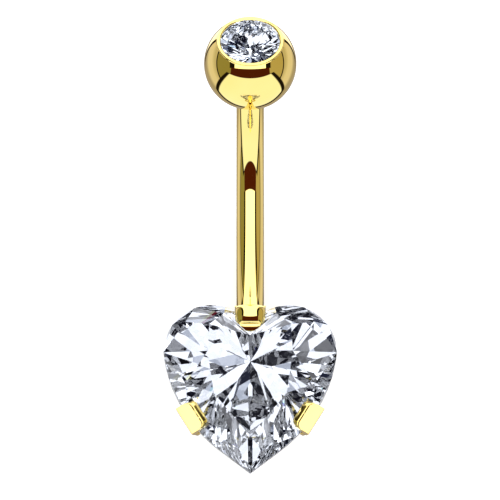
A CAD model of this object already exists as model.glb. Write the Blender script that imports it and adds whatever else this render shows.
# A navel ring: a gold-coloured curved bar with a screw-on gem ball at one end and a
# heart-cut stone in a three-prong basket at the other. It lies on its back, heart up.
import math

import bmesh
import bpy
from mathutils import Matrix, Vector


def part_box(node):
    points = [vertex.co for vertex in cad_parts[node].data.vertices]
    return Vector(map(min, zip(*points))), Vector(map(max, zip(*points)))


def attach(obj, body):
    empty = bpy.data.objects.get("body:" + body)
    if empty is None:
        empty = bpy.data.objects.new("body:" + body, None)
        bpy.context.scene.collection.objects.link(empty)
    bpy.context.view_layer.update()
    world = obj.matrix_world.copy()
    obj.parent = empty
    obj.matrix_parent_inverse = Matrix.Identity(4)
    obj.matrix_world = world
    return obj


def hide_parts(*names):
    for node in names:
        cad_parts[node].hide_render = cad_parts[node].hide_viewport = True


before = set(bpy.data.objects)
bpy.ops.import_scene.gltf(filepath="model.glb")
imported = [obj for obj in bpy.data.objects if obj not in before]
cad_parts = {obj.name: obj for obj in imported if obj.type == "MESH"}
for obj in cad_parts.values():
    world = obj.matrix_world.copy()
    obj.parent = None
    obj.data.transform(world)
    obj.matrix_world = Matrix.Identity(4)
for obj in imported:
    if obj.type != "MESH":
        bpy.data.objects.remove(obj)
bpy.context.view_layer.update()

# The bar is 14 gauge surgical steel wire, bent to an arc and coated in a polished gold
# colour. Its back end is soldered to the basket, and its front end has a square shoulder
# that the ball seats on.
mm = 0.001
bar_r = 0.8 * mm
bend_r = 8.9 * mm
ball_end = math.radians(60)
heart_end = math.radians(39.5)
bar_back = -4.116 * mm
ball_r = 2.675 * mm
foot_cut = 0.17 * mm
ball_gap = 0.02 * mm
ball_off = ball_r - foot_cut + ball_gap
ball_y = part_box("screw_ball")[1].y - ball_r
bend_centre = Vector((0, ball_y - ball_off * math.cos(ball_end) - bend_r * math.sin(ball_end),
                      bend_r + bar_r))


def on_bend(angle):
    """Point of the bar's centreline at an angle from its lowest point."""
    return bend_centre + bend_r * Vector((0, math.sin(angle), -math.cos(angle)))


def begin():
    """Everything is deselected, in Object Mode, before a primitive is added."""
    if bpy.context.mode != "OBJECT":
        bpy.ops.object.mode_set(mode="OBJECT")
    bpy.ops.object.select_all(action="DESELECT")


def open_piece(name, mode="FACE"):
    """The primitive just added gets its name, and is opened in Edit Mode, all selected."""
    piece = bpy.context.object
    piece.name = piece.data.name = name
    bpy.ops.object.transform_apply(location=True, rotation=True, scale=True)
    bpy.ops.object.mode_set(mode="EDIT")
    bpy.ops.mesh.select_mode(type=mode)
    bpy.ops.mesh.select_all(action="SELECT")
    return piece


def close_piece():
    """Doubles are merged, normals are turned outwards, and Edit Mode is left."""
    bpy.ops.mesh.select_all(action="SELECT")
    bpy.ops.mesh.remove_doubles(threshold=0.0004 * mm)
    bpy.ops.mesh.normals_make_consistent(inside=False)
    bpy.ops.object.mode_set(mode="OBJECT")


def modified(piece, kind, **settings):
    """Adds a modifier to a piece and applies it."""
    bpy.context.view_layer.objects.active = piece
    modifier = piece.modifiers.new(kind.title(), kind)
    for key, value in settings.items():
        setattr(modifier, key, value)
    bpy.ops.object.modifier_apply(modifier=modifier.name)


def polished(piece, edge=0.0, segments=3, sharp=35):
    """Edges are eased to a small radius, as polishing leaves them, and shaded smooth."""
    if edge:
        modified(piece, "BEVEL", width=edge, segments=segments, limit_method="ANGLE",
                 angle_limit=math.radians(28), use_clamp_overlap=True)
    begin()
    piece.select_set(True)
    bpy.context.view_layer.objects.active = piece
    bpy.ops.object.shade_smooth_by_angle(angle=math.radians(sharp))


class Wire:
    """A shader socket on which sums are written as plain expressions."""

    def __init__(self, tree, socket):
        self.tree, self.socket = tree, socket

    def node(self, kind, settings=None, inputs=None, output=0):
        """Adds a node: its settings or a ramp's stops first, then its sockets' values or links."""
        made = self.tree.nodes.new(kind)
        for key, value in (settings or {}).items():
            if key == "stops":
                ramp = made.color_ramp
                ramp.interpolation = "CONSTANT"
                ramp.elements[0].position, ramp.elements[-1].position = 0, 1
                for _ in value[2:]:
                    ramp.elements.new(0.5)
                for element, (place, colour) in zip(ramp.elements, value):
                    element.position, element.color = place, (*colour, 1)
            else:
                setattr(made, key, value)
        for key, value in (inputs or {}).items():
            if isinstance(value, Wire):
                self.tree.links.new(value.socket, made.inputs[key])
            else:
                made.inputs[key].default_value = value
        return Wire(self.tree, made.outputs[output])

    def sibling(self, output):
        """Another output of the node that this wire comes from."""
        return Wire(self.tree, self.socket.node.outputs[output])

    def sum(self, operation, other, swapped=False):
        """A Math node on this wire and a number or another wire."""
        first, second = (other, self) if swapped else (self, other)
        return self.node("ShaderNodeMath", {"operation": operation}, {0: first, 1: second})

    def __add__(self, other): return self.sum("ADD", other)
    def __radd__(self, other): return self.sum("ADD", other)
    def __sub__(self, other): return self.sum("SUBTRACT", other)
    def __rsub__(self, other): return self.sum("SUBTRACT", other, True)
    def __mul__(self, other): return self.sum("MULTIPLY", other)
    def __rmul__(self, other): return self.sum("MULTIPLY", other)
    def __abs__(self): return self.sum("ABSOLUTE", 0.0)
    def above(self, level): return self.sum("GREATER_THAN", level)
    def below(self, level): return self.sum("LESS_THAN", level)
    def angle_to(self, other): return self.sum("ARCTAN2", other)

    def ramp(self, start, end):
        """0 up to start and 1 from end, with a straight slope between."""
        return self.node("ShaderNodeMapRange", {"clamp": True}, {0: self, 1: start, 2: end, 3: 0.0, 4: 1.0})

    def paint(self, under, over):
        """A colour mix: under where this wire is 0, over where it is 1."""
        return self.node("ShaderNodeMix", {"data_type": "RGBA"},
                         {0: self, 6: under if isinstance(under, Wire) else (*under, 1),
                          7: over if isinstance(over, Wire) else (*over, 1)}, output=2)


def finish_of(name, **constants):
    """A Principled material: itself, its shader and a wire to start its nodes from."""
    material = bpy.data.materials.new(name)
    material.use_nodes = True
    shader = material.node_tree.nodes["Principled BSDF"]
    for key, value in constants.items():
        shader.inputs[key.replace("_", " ")].default_value = value
    return material, shader, Wire(material.node_tree, None)


def feed(shader, key, wire):
    """Links a wire to one of a node's sockets."""
    wire.tree.links.new(wire.socket, shader.inputs[key])


# The coating drifts in tone over a few millimetres, and polishing left wipe marks along it.
gold_light, gold_deep = (0.97, 0.78, 0.27), (0.95, 0.74, 0.23)
drift_scale = 260.0
wipe_scale = (14000.0, 2500.0, 2500.0)
gold, gold_shader, start = finish_of("polished_gold", Metallic=1.0)
spot = start.node("ShaderNodeTexCoord", output=3)
drift = start.node("ShaderNodeTexNoise", {}, {"Vector": spot, "Scale": drift_scale, "Detail": 2.0})
feed(gold_shader, "Base Color", drift.ramp(0.35, 0.65).paint(gold_deep, gold_light))
wiped = start.node("ShaderNodeMapping", {}, {"Vector": spot, "Scale": wipe_scale})
marks = start.node("ShaderNodeTexNoise", {}, {"Vector": wiped, "Scale": 1.0, "Detail": 3.0})
feed(gold_shader, "Roughness", 0.008 + 0.012 * marks)
feed(gold_shader, "Normal", start.node("ShaderNodeBump", {},
                                       {"Height": marks, "Strength": 0.01, "Distance": 0.01 * mm}))


def settle(piece, body, node):
    """A gold piece gets its material, its body and the CAD node it stands for.

    No gold shows through the stones in the photo, and no ball is mirrored in the bar, so
    those rays leave the pieces out.
    """
    piece.data.materials.clear()
    piece.data.materials.append(gold)
    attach(piece, body)
    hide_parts(node)
    piece.visible_transmission = False
    piece.visible_glossy = body != "top_ball"


begin()
bpy.ops.mesh.primitive_circle_add(vertices=128, radius=bar_r, location=on_bend(-heart_end),
                                  rotation=(math.pi / 2 - heart_end, 0, 0))
bar = open_piece("curved_bar", "VERT")
bpy.ops.mesh.spin(steps=200, angle=-(heart_end + ball_end), center=bend_centre, axis=(1, 0, 0))
bpy.ops.mesh.select_all(action="SELECT")
bpy.ops.mesh.fill_holes(sides=0)
bpy.ops.mesh.select_all(action="SELECT")
bpy.ops.mesh.bisect(plane_co=(0, bar_back, 0), plane_no=(0, -1, 0), use_fill=True, clear_outer=True)
close_piece()
polished(bar, 0.04 * mm)
settle(bar, "barbell", "bar_with_setting")


# The ball screws on to a post turned on the bar's shoulder. It is a core with a rolled
# thread of 0.25 mm pitch and a chamfered lead, all in the same coated steel.
post_r = 0.58 * mm
post_l = 2.3 * mm
core_r = post_r - 0.1 * mm
core_foot = -0.1 * mm
lead = 0.14 * mm
pitch = 0.25 * mm
thread_turns = 8
bar_end = on_bend(ball_end)
post_axis = Vector((0, math.cos(ball_end), math.sin(ball_end)))
lean = Matrix.Translation(bar_end) @ Matrix.Rotation(ball_end - math.pi / 2, 4, "X")


def drawn(name, points, closed=False):
    """A line of points, drawn in Edit Mode by extruding one vertex, and filled if closed."""
    begin()
    bpy.ops.mesh.primitive_plane_add(size=mm)
    piece = open_piece(name, "VERT")
    bpy.ops.mesh.merge(type="CENTER")
    at = Vector((0, 0, 0))
    for i, point in enumerate(points):
        step = Vector(point) - at
        at = Vector(point)
        if i == 0:
            bpy.ops.transform.translate(value=step)
        else:
            bpy.ops.mesh.extrude_region_move(TRANSFORM_OT_translate={"value": step})
    if closed:
        bpy.ops.mesh.select_all(action="SELECT")
        bpy.ops.mesh.edge_face_add()
    return piece


def turned(name, outline, steps=96):
    """A piece turned on a lathe: its outline (r, h) is spun round the Z axis."""
    piece = drawn(name, [(r, 0, h) for r, h in outline])
    bpy.ops.mesh.select_all(action="SELECT")
    bpy.ops.mesh.spin(steps=steps, angle=2 * math.pi, center=(0, 0, 0), axis=(0, 0, 1))
    close_piece()
    return piece


def place(piece, matrix):
    """Moves a finished mesh to its place and leaves its object at the origin."""
    piece.data.transform(matrix)
    piece.data.update()


core = turned("post_core", [(0, core_foot), (core_r, core_foot), (core_r, post_l - lead),
                            (core_r - 0.1 * mm, post_l), (0, post_l)], 64)
place(core, lean)
polished(core, 0.015 * mm)
settle(core, "barbell", "bar_with_setting")

root, crest = post_r - 0.12 * mm, post_r
thread = drawn("post_thread", [(root, 0, 0), (crest - 0.02 * mm, 0, 0.42 * pitch), (crest, 0, 0.5 * pitch),
                               (crest - 0.02 * mm, 0, 0.58 * pitch), (root, 0, pitch)])
bpy.ops.object.mode_set(mode="OBJECT")
modified(thread, "SCREW", angle=2 * math.pi, screw_offset=pitch, iterations=thread_turns, steps=48,
         render_steps=48, axis="Z", use_merge_vertices=True, merge_threshold=0.0005 * mm)
begin()
thread.select_set(True)
bpy.context.view_layer.objects.active = thread
open_piece("post_thread")
close_piece()
place(thread, lean)
polished(thread)
settle(thread, "barbell", "bar_with_setting")


# The ball is turned from the same steel. A flat at its foot seats on the bar's shoulder,
# round the hole for the post, and its face is cut flat and counterbored for the stone.
gem_r = 1.75 * mm
bezel_r = gem_r + 0.2 * mm
seat_gap = 0.04 * mm
foot_h = ball_r - foot_cut
cut = math.sqrt(ball_r ** 2 - bezel_r ** 2)
hole_r = post_r + 0.03 * mm
hole_end = post_l - foot_h - ball_gap + 0.1 * mm
hole_lead = 0.06 * mm
cup_r = gem_r + seat_gap
cup_floor = cut - 0.1 * mm - seat_gap
cup_depth = 1.4 * mm
on_post = lean @ Matrix.Translation((0, 0, ball_off))


def arc(radius, start, end, count, centre=(0.0, 0.0)):
    """Points (r, h) of an arc, at angles in degrees from the equator."""
    turns = [math.radians(start + (end - start) * i / count) for i in range(count + 1)]
    return [(centre[0] + radius * math.cos(t), centre[1] + radius * math.sin(t)) for t in turns]


foot_deg = -math.degrees(math.asin(foot_h / ball_r))
face_deg = math.degrees(math.asin(cut / ball_r))
hole = [(0, hole_end), (hole_r - 0.1 * mm, hole_end), (hole_r, hole_end - hole_lead),
        (hole_r, hole_lead - foot_h), (hole_r + hole_lead, -foot_h)]
cup = [(cup_r, cut), (cup_r, cup_floor), (0.1 * mm, cup_floor - cup_depth + 0.04 * mm),
       (0, cup_floor - cup_depth)]
ball = turned("ball_shell", hole + arc(ball_r, foot_deg, face_deg, 96) + cup, 192)
place(ball, on_post)
polished(ball, 0.012 * mm, 2, 12)
settle(ball, "top_ball", "screw_ball")


# The bezel is the thin wall left standing round the counterbore. Its edge is rubbed over
# the stone with a burnisher, which leaves a soft, bright, slightly rounded lip.
lip_h = 0.1 * mm
wall_foot = cut - 0.03 * mm
inner_r, outer_r, inset = 0.06 * mm, 0.08 * mm, 0.085 * mm
lip = turned("gem_bezel", [(cup_r, wall_foot), (gem_r - 0.04 * mm, cut + 0.012 * mm),
                           (gem_r - 0.045 * mm, cut + 0.03 * mm), (gem_r - 0.03 * mm, cut + 0.06 * mm)]
             + arc(inner_r, 130, 60, 6, (gem_r + 0.05 * mm, cut + lip_h - inner_r))
             + arc(outer_r, 70, 0, 8, (bezel_r - inset, cut + lip_h - inset))
             + [(bezel_r, wall_foot), (cup_r, wall_foot)], 144)
place(lip, on_post)
polished(lip)
settle(lip, "top_ball", "screw_ball")


# The foot ring carries the basket: a short ring turned from the same steel, with its
# edges rounded. The ring lies on it and on the lowest point of the bar's bend.
girdle_z = 4.73 * mm
lobe_r = 2.7605 * mm
heart_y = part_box("heart_stone")[1].y - lobe_r
foot_centre = Vector((0, heart_y - 0.35 * mm, 0))
foot_in, foot_out, ring_h = 1.8 * mm, 2.6 * mm, 0.9 * mm
foot = turned("foot_ring", [(foot_in, 0), (foot_out, 0), (foot_out, ring_h), (foot_in, ring_h),
                            (foot_in, 0)], 128)
place(foot, Matrix.Translation(foot_centre))
polished(foot, 0.14 * mm, 4)
settle(foot, "barbell", "bar_with_setting")


# Two steel arms rise from the foot ring to the side prongs. Each prong is bent over the
# stone's edge, filed to a flat top with rounded corners, and thinned to a lip against the
# crown. Its outer face and its leg lean inwards going down.
side_deg = math.radians(-32)
side_edge = Vector((3.464 * mm, heart_y - 4.008 * mm, girdle_z))
prong_w = 1.74 * mm
prong_out = 0.41 * mm
edge_over = 0.227 * mm
crown_slope = 0.603
claw_lean = 0.17
corner = 0.36 * mm
corner_steps = 6


def move_points(test, step):
    """Moves the points that pass the test, and no others, by a step in millimetres."""
    mesh = bpy.context.edit_object.data
    bm = bmesh.from_edit_mesh(mesh)
    bpy.ops.mesh.select_mode(type="VERT")
    for point in bm.verts:
        point.select_set(test(point.co))
    bmesh.update_edit_mesh(mesh)
    bpy.ops.transform.translate(value=[part * mm for part in step])


# The prong's profile in millimetres, from its flat top down: how far its inner side stands
# from the stone's edge, and how high above the girdle.
claw_steps = [(-0.39, 0.98), (-0.48, 0.87), (-0.535, 0.862), (-0.80, 0.71), (-0.82, 0.70), (-0.82, -0.1)]
u, w = (value * mm for value in claw_steps[0])
plan = [(prong_out, -prong_w / 2), (prong_out, prong_w / 2)]
for end, start_deg in ((1, 90), (-1, 180)):
    for i in range(corner_steps + 1):
        turn = math.radians(start_deg + 90 * i / corner_steps)
        plan.append((u + corner + corner * math.cos(turn),
                     end * (prong_w / 2 - corner) + corner * math.sin(turn)))
claw = drawn("side_prong_right", [(x, y, w) for x, y in plan], True)
bpy.ops.mesh.select_all(action="SELECT")
for (u, w), (next_u, next_w) in zip(claw_steps, claw_steps[1:]):
    bpy.ops.mesh.extrude_region_move(TRANSFORM_OT_translate={"value": (0, 0, (next_w - w) * mm)})
    bpy.ops.transform.resize(value=((prong_out - next_u * mm) / (prong_out - u * mm), 1, 1),
                             center_override=(prong_out, 0, next_w * mm))
move_points(lambda p: p.z < 0 and p.x > prong_out / 2, (-claw_lean, 0, 0))
bpy.ops.mesh.select_all(action="SELECT")
bpy.ops.mesh.bisect(plane_co=(0, 0, edge_over), plane_no=(crown_slope, 0, 1), use_fill=True,
                    clear_inner=True)
close_piece()
place(claw, Matrix.Translation(side_edge) @ Matrix.Rotation(side_deg, 4, "Z"))


def pick(test):
    """Selects the faces whose normal passes the test, and no others."""
    mesh = bpy.context.edit_object.data
    bm = bmesh.from_edit_mesh(mesh)
    bm.normal_update()
    for face in bm.faces:
        face.select_set(False)
    for face in [face for face in bm.faces if test(face.normal)]:
        face.select_set(True)
    bmesh.update_edit_mesh(mesh)


def arm(name, size, at, turn, climb, grow, turn_top, leg=None, leg_thin=1.0):
    """An arm: a block on the foot ring, drawn out to its prong, with a thinner leg if asked."""
    begin()
    bpy.ops.mesh.primitive_cube_add(size=1, location=at + Vector((0, 0, size[2] / 2)), scale=size,
                                    rotation=(0, 0, turn))
    piece = open_piece(name)
    pick(lambda normal: normal.z > 0.9)
    steps = 8
    block_top = top = at + Vector((0, 0, size[2]))
    for i in range(1, steps + 1):
        new_top = block_top + climb * (i / steps)
        bpy.ops.mesh.extrude_region_move(TRANSFORM_OT_translate={"value": new_top - top})
        top = new_top
        bpy.ops.transform.rotate(value=-turn_top / steps, orient_axis="Z", center_override=top)
        bpy.ops.transform.resize(value=[g ** (1 / steps) for g in grow], center_override=top,
                                 orient_matrix=Matrix.Rotation(turn + turn_top * i / steps, 3, "Z"),
                                 orient_type="LOCAL", orient_matrix_type="LOCAL")
    if leg:
        bpy.ops.mesh.extrude_region_move(TRANSFORM_OT_translate={"value": leg})
        bpy.ops.transform.resize(value=(leg_thin, 1, 1), center_override=top + leg,
                                 orient_matrix=Matrix.Rotation(turn + turn_top, 3, "Z"),
                                 orient_type="LOCAL", orient_matrix_type="LOCAL")
    close_piece()
    return piece


outwards = Vector((math.cos(side_deg), math.sin(side_deg), 0))
leg_in, leg_drop = 0.065 * mm, 0.9 * mm
leg_lean, leg_h = 0.305 * mm, 1.2 * mm
leg_thick, leg_tip, leg_wide = 0.26 * mm, 0.15 * mm, 1.7 * mm
leg_foot = side_edge - leg_in * outwards - Vector((0, 0, leg_drop))
leg_up = leg_lean * outwards + Vector((0, 0, leg_h))
arm_r = 2.24 * mm
arm_turn = math.atan2(side_edge.y - foot_centre.y, side_edge.x)
arm_at = foot_centre + arm_r * Vector((math.cos(arm_turn), math.sin(arm_turn), 0))
arm_size = (0.72 * mm, 1.36 * mm, 0.45 * mm)
climb = leg_foot - arm_at - Vector((0, 0, arm_size[2]))
side_arm = arm("side_arm_right", arm_size, arm_at, arm_turn, climb,
               (leg_thick / arm_size[0], leg_wide / arm_size[1], 1), side_deg - arm_turn, leg_up,
               leg_tip / leg_thick)

# The left prong and arm are copies with their own meshes, mirrored about x = 0. Each ease
# is the radius and steps of a piece's edges, and the angle past which it is shaded sharp.
claw_ease, arm_ease = (0.012 * mm, 2, 17), (0.08 * mm, 4, 30)
side_pieces = [claw, side_arm]
for piece in (claw, side_arm):
    twin = piece.copy()
    twin.data = piece.data.copy()
    twin.name = twin.data.name = piece.name.replace("right", "left")
    bpy.context.scene.collection.objects.link(twin)
    place(twin, Matrix.Scale(-1, 4, (1, 0, 0)))
    twin.data.flip_normals()
    side_pieces.append(twin)
for piece, ease in zip(side_pieces, 2 * (claw_ease, arm_ease)):
    polished(piece, *ease)
    settle(piece, "barbell", "bar_with_setting")


# The third prong stands in the heart's cleft, on its own arm, and the bar is soldered to
# its back. Its inner side follows the two lobes, and its head is a smooth rounded pillow
# with a thin lip below it, pressed down into the valley of the crown.
back_y = -3.5074 * mm
half_w = 0.89 * mm
post_foot, post_top = 2.5 * mm, 5.85 * mm
lobe_x, lobe_grown = 5 * mm - lobe_r, lobe_r + seat_gap
lobe_side = [(x * half_w / 6, heart_y + math.sqrt(lobe_grown ** 2 - (lobe_x - x * half_w / 6) ** 2))
             for x in range(7)]
plan = lobe_side + [(half_w, back_y), (-half_w, back_y)] + [(-x, y) for x, y in lobe_side[:0:-1]]
post = drawn("cleft_prong_post", [(x, y, post_foot) for x, y in plan], True)
bpy.ops.mesh.select_all(action="SELECT")
bpy.ops.mesh.extrude_region_move(TRANSFORM_OT_translate={"value": (0, 0, post_top - post_foot)})
close_piece()
polished(post, 0.03 * mm)
settle(post, "barbell", "bar_with_setting")

arm_deep, post_deep = 0.8 * mm, 0.87 * mm
cleft_at = foot_centre + Vector((0, 2.32 * mm, 0))
climb = Vector((0, back_y - post_deep / 2 - cleft_at.y, 1.95 * mm))
cleft_arm = arm("cleft_prong_arm", (2 * half_w, arm_deep, 0.9 * mm), cleft_at, 0, climb,
                (1, post_deep / arm_deep, 1), 0)
polished(cleft_arm, *arm_ease)
settle(cleft_arm, "barbell", "bar_with_setting")

crown_normal = Vector((0.515, 0.686, 0.514)).normalized()
crown_point = Vector((0, -4.6 * mm, 5.152 * mm))


def fit_crown(piece, sharp):
    """Cuts a piece of the head clear of the two crown facets in the cleft, and finishes it."""
    begin()
    piece.select_set(True)
    bpy.context.view_layer.objects.active = piece
    bpy.ops.object.mode_set(mode="EDIT")
    for hand in (1, -1):
        bpy.ops.mesh.select_all(action="SELECT")
        normal = Vector((-hand * crown_normal.x, crown_normal.y, crown_normal.z))
        bpy.ops.mesh.bisect(plane_co=crown_point + seat_gap * normal, plane_no=normal, use_fill=True,
                            clear_inner=True)
    close_piece()
    polished(piece, sharp=sharp)
    settle(piece, "barbell", "bar_with_setting")


# The head starts as a subdivided block: its top is domed, its front rounded and its corners
# pressed in, and then it is smoothed and fitted to its size.
head_top, head_foot = 6.62 * mm, 5.3 * mm
head_front = -4.66 * mm
begin()
bpy.ops.mesh.primitive_cube_add(size=1, location=(0, (head_front + back_y) / 2, (head_top + head_foot) / 2),
                                scale=(2 * half_w, back_y - head_front, head_top - head_foot))
head = open_piece("cleft_prong_head")
bpy.ops.mesh.subdivide(number_cuts=3)
at_back, at_front, near_front = back_y - 0.01 * mm, head_front + 0.01 * mm, -4.2 * mm
at_side, at_top, inside = half_w - 0.01 * mm, head_top - 0.01 * mm, 0.3 * mm
upper = 6.1 * mm
move_points(lambda p: 6.2 * mm < p.z < at_top, (0, 0, -0.3))
move_points(lambda p: 5.9 * mm < p.z < upper, (0, 0, -0.2))
for hand in (1, -1):
    move_points(lambda p: p.z > at_top and hand * p.x > at_side, (0, 0, -0.4))
    move_points(lambda p: p.z > at_top and at_side > hand * p.x > inside, (0, 0, -0.07))
    move_points(lambda p: hand * p.x > at_side and p.y > at_back, (-0.1 * hand, 0, 0))
    move_points(lambda p: hand * p.x > at_side and at_front < p.y < near_front, (-0.06 * hand, 0, 0))
    move_points(lambda p: hand * p.x > at_side and p.y < at_front, (-0.2 * hand, 0.05, 0))
    move_points(lambda p: at_side > hand * p.x > inside and p.y < at_front, (-0.05 * hand, 0.01, 0))
move_points(lambda p: p.y > at_back and p.z > upper, (0, 0, -0.16))
move_points(lambda p: at_front < p.y < near_front and p.z > upper, (0, -0.13, -0.16))
move_points(lambda p: p.y < at_front + 0.055 * mm and p.z > upper, (0, 0, -0.25))
bpy.ops.object.mode_set(mode="OBJECT")
modified(head, "SUBSURF", levels=4, render_levels=4)
low, high = (Vector([end_of(point.co[i] for point in head.data.vertices) for i in range(3)])
             for end_of in (min, max))
fitted = Matrix.Diagonal((2 * half_w / (high.x - low.x), (back_y - head_front) / (high.y - low.y), 1, 1))
place(head, Matrix.Translation((0, head_front, head_top)) @ fitted
      @ Matrix.Translation((0, -low.y, -high.z)))
fit_crown(head, 35)

layer_back = -4.3 * mm


def pick_edges(test):
    """Selects the edges whose two ends pass the test, and no others."""
    mesh = bpy.context.edit_object.data
    bm = bmesh.from_edit_mesh(mesh)
    bpy.ops.mesh.select_mode(type="EDGE")
    for edge in bm.edges:
        edge.select_set(test(edge.verts[0].co, edge.verts[1].co))
    bmesh.update_edit_mesh(mesh)


def layer(name, front, half_front, wide, top, edge, round_r=0.0, apron=0.0, droop=0.0):
    """A thin layer under the head: narrowed, its front corners rounded or drawn out and down."""
    begin()
    bpy.ops.mesh.primitive_cube_add(size=1, location=(0, (front + layer_back) / 2, (top + head_foot) / 2),
                                    scale=(2 * wide, layer_back - front, top - head_foot))
    piece = open_piece(name)
    pick(lambda normal: normal.y < -0.9)
    bpy.ops.transform.resize(value=(half_front / wide, 1, 1), center_override=(0, front, top))
    if apron:
        bpy.ops.mesh.extrude_region_move(TRANSFORM_OT_translate={"value": (0, -apron, 0)})
        bpy.ops.transform.resize(value=(0.85, 1, 1), center_override=(0, front, top))
        move_points(lambda p: p.z > top - 0.01 * mm and p.y < front - apron / 2, (0, 0, -droop))
    if round_r:
        pick_edges(lambda a, b: abs(a.z - b.z) > 0.1 * mm and max(a.y, b.y) < front + 0.01 * mm)
        bpy.ops.mesh.bevel(offset=round_r, segments=8, affect="EDGES")
    bpy.ops.object.mode_set(mode="OBJECT")
    modified(piece, "BEVEL", width=edge, segments=3, limit_method="ANGLE", angle_limit=math.radians(40))
    fit_crown(piece, 14)


layer("cleft_prong_lip", -4.81 * mm, 0.62 * mm, 0.72 * mm, 6.2 * mm, 0.045 * mm, round_r=0.3 * mm)
layer("cleft_prong_claw", -4.77 * mm, 0.57 * mm, 0.66 * mm, 6.15 * mm, 0.015 * mm, apron=0.25 * mm,
      droop=0.116)


# The stones are cubic zirconia, cut and polished, with a frosted girdle. The heart hangs
# by its lobes in the basket, and the round one sits on a foil back in the counterbore.
heart_index, round_index = 2.4, 1.6
heart_tint, round_tint = (0.935, 0.962, 1.0), (0.975, 0.99, 1.0)
foil_tint = (0.98, 0.99, 1.0)


def stone_finish(name, index, tint, centre, axis, low, high, backed=False):
    """A clear stone with a frosted girdle between two heights, and a foil back if asked."""
    material, shader, start = finish_of(name, IOR=index, Transmission_Weight=1.0)
    shader.inputs["Base Color"].default_value = (*tint, 1)
    spot = start.node("ShaderNodeTexCoord", output=3)
    from_centre = start.node("ShaderNodeVectorMath", {"operation": "SUBTRACT"}, {0: spot, 1: centre})
    height = start.node("ShaderNodeVectorMath", {"operation": "DOT_PRODUCT"},
                        {0: from_centre, 1: axis}, "Value")
    girdle = height.above(low + 0.004 * mm) * height.below(high - 0.004 * mm)
    feed(shader, "Roughness", 0.3 * girdle)
    if backed:
        foil = start.node("ShaderNodeBsdfPrincipled", {},
                          {"Base Color": (*foil_tint, 1), "Metallic": 1.0, "Roughness": 0.02})
        clear = Wire(material.node_tree, shader.outputs[0])
        back = height.below(low - 0.002 * mm)
        joined = start.node("ShaderNodeMixShader", {}, {0: back, 1: clear, 2: foil})
        feed(material.node_tree.nodes["Material Output"], "Surface", joined)
    return material


heart_look = stone_finish("heart_zirconia", heart_index, heart_tint, Vector((0, heart_y, girdle_z)),
                          Vector((0, 0, 1)), -0.18 * mm, 0.18 * mm)
round_look = stone_finish("round_zirconia", round_index, round_tint, on_post @ Vector((0, 0, cut)),
                          post_axis, -0.1 * mm, 0.0, True)
for node, look in (("heart_stone", heart_look), ("ball_stone", round_look)):
    stone = bpy.data.objects[node]
    stone.data.materials.clear()
    stone.data.materials.append(look)


# The ring lies on a plain pale floor, in a plain soft white studio. The camera looks down
# on it, tilted 12 degrees from straight above, through a long lens.
floor_w = 1.6
floor_grey = 0.93
begin()
bpy.ops.mesh.primitive_plane_add(size=floor_w)
floor = bpy.context.object
floor.name = "floor"
floor_look, floor_shader, _ = finish_of("pale_floor", Roughness=0.6, Specular_IOR_Level=0.2,
                                        Emission_Strength=0.3)
floor_shader.inputs["Base Color"].default_value = (floor_grey, floor_grey, floor_grey, 1)
floor_shader.inputs["Emission Color"].default_value = (1, 1, 1, 1)
floor.data.materials.append(floor_look)
floor.visible_glossy = False
floor.visible_transmission = False

world = bpy.data.worlds.new("studio")
bpy.context.scene.world = world
world.use_nodes = True
world.node_tree.nodes.clear()
studio = Wire(world.node_tree, None)
way = studio.node("ShaderNodeTexCoord", output=0)
dx = studio.node("ShaderNodeSeparateXYZ", {}, {0: way})
dy, dz = dx.sibling(1), dx.sibling(2)
side = abs(dx)
degrees = 180 / math.pi
pitch_deg = (0 - dy).angle_to(dz) * degrees
azimuth = side.angle_to(0 - dy) * degrees

# What the gold mirrors: a long panel overhead, a gap, and a wide panel in front, with
# black edges. Pitch is in degrees from straight up towards the front, and azimuth from
# the front towards a side. Each ramp is one soft edge of a panel.
overhead = side.ramp(0.635, 0.62) * pitch_deg.ramp(27.5, 26.5) * pitch_deg.ramp(-95, -91)
overhead_edge = side.ramp(0.80, 0.78) * pitch_deg.ramp(29, 28) * pitch_deg.ramp(-80, -50)
gap = side.ramp(0.76, 0.74) * pitch_deg.ramp(26.5, 27.5) * pitch_deg.ramp(50.5, 49.5)
front = azimuth.ramp(59, 57) * pitch_deg.ramp(50, 51) * pitch_deg.ramp(153, 151)
front_edge = azimuth.ramp(66.2, 64.7) * pitch_deg.ramp(48, 49) * pitch_deg.ramp(161, 159.5)
past_back = dy - 1.133 * side - 0.235 * dz
behind = past_back.ramp(0.0, 0.01) * dz.ramp(-0.05, -0.1) * dz.ramp(-0.88, -0.8)
behind_edge = past_back.ramp(-0.15, -0.14) * dz.ramp(-0.02, -0.05) * dz.ramp(-0.92, -0.84)
walls = dx.ramp(-0.6, 0.6).paint((0.30, 0.28, 0.12), (0.5, 0.43, 0.24))
ground = (0 - dz).ramp(0.15, 0.35).paint((0.58, 0.54, 0.5), (0.80, 0.76, 0.8))
ground = (0 - dz).ramp(0.6, 0.76).paint(ground, (0.42, 0.38, 0.36))
level = dz - 0.213 * dy
skirting = level.ramp(-0.08, -0.07) * level.ramp(0.0, -0.01)
edge_black = (0.012, 0.008, 0.006)
mirrored = level.ramp(-0.045, -0.035).paint(ground, walls)
for mask, colour in ((skirting, (0.03, 0.024, 0.012)), (overhead_edge, edge_black),
                     (behind_edge, (0.02, 0.016, 0.012)), (behind, (1.6, 1.6, 1.8)),
                     (front_edge, edge_black), (overhead, (2.0, 2.0, 2.0)),
                     (front, (1.12, 1.19, 1.3)), (gap, (0.075, 0.014, 0.004))):
    mirrored = mask.paint(mirrored, colour)

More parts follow.
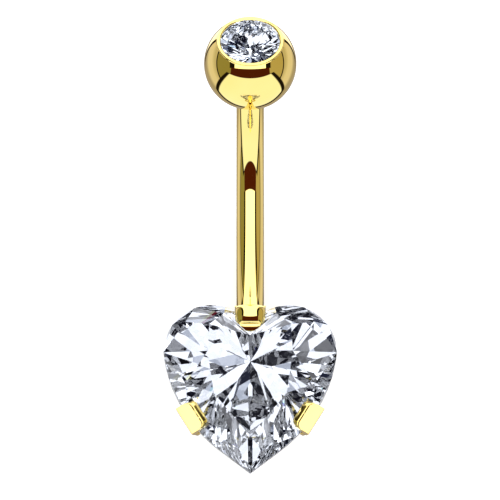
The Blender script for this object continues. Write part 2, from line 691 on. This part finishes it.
# What the stones gather: a white tent with dark cards in it, split a little by colour and
# brighter on the ball's side. Red, green and blue each have a level for every kind of card.
card_levels = ((0.0015, 0.0135, 0.18, 0.63, 1.425), (0.0015, 0.017, 0.21, 0.675, 1.46),
               (0.006, 0.0375, 0.31, 0.795, 1.575))
card_shares = (0.0, 0.525, 0.55, 0.565, 0.573)
cards_at = (7.457, 6.839, 4.713)
cards_scale = 3.1
split_by = 0.0009
fire = 0.33
channels, chances = [], []
for i, levels in enumerate(card_levels):
    split = (i - 1) * split_by
    shifted = studio.node("ShaderNodeVectorMath", {"operation": "ADD"},
                          {0: way, 1: (cards_at[0] + split, cards_at[1] - split, cards_at[2])})
    card = studio.node("ShaderNodeTexVoronoi", {"feature": "F1"},
                       {"Vector": shifted, "Scale": cards_scale}, 1)
    chances.append(studio.node("ShaderNodeSeparateColor", {}, {0: card}))
    stops = [(share, (tone, tone, tone)) for share, tone in zip(card_shares, levels)]
    channels.append(studio.node("ShaderNodeValToRGB", {"stops": stops}, {0: chances[-1]}))
fiery = studio.node("ShaderNodeCombineColor", {}, dict(enumerate(channels)))
stops = list(zip(card_shares, zip(*card_levels)))
plain = studio.node("ShaderNodeValToRGB", {"stops": stops}, {0: chances[1]})
cards = studio.node("ShaderNodeMix", {"data_type": "RGBA"}, {0: fire, 6: plain, 7: fiery}, 2)
gathered = studio.node("ShaderNodeVectorMath", {"operation": "SCALE"},
                       {0: cards, "Scale": 1 + dy.ramp(0.4, 0.6)})
glint = (0.5 + 0.5 * dz.ramp(0.8, 0.9)).paint(gathered, (0.06, 0.06, 0.07))

# Glass takes its glints from sharp rays, the gold its mirror image from the other glossy
# ones, and the camera and the floor see the plain white of the studio.
plain_white = (1.3, 1.3, 1.3)
from_gloss = studio.node("ShaderNodeLightPath", output="Is Glossy Ray")
through, sharp_ray = from_gloss.sibling("Is Transmission Ray"), from_gloss.sibling("Is Singular Ray")
seen = through.paint(from_gloss.paint(plain_white, sharp_ray.paint(mirrored, glint)), gathered)
light = studio.node("ShaderNodeBackground", {}, {0: seen, 1: 1.0})
feed(world.node_tree.nodes.new("ShaderNodeOutputWorld"), "Surface", light)

scene = bpy.context.scene
scene.view_settings.view_transform = "Standard"
scene.cycles.max_bounces = 24
scene.cycles.transmission_bounces = 24
scene.cycles.glossy_bounces = 12

camera_tilt = math.radians(12)
camera_far = 481.8 * mm
target = Vector((-0.012, 0.007, 4.73)) * mm
camera = bpy.data.objects.new("camera", bpy.data.cameras.new("camera"))
scene.collection.objects.link(camera)
camera.data.lens = 600
camera.data.sensor_width = 36
camera.data.clip_start = 0.01
camera.data.clip_end = 10
camera.location = target + camera_far * Vector((0, -math.sin(camera_tilt), math.cos(camera_tilt)))
camera.rotation_euler = (camera_tilt, 0, 0)
scene.camera = camera
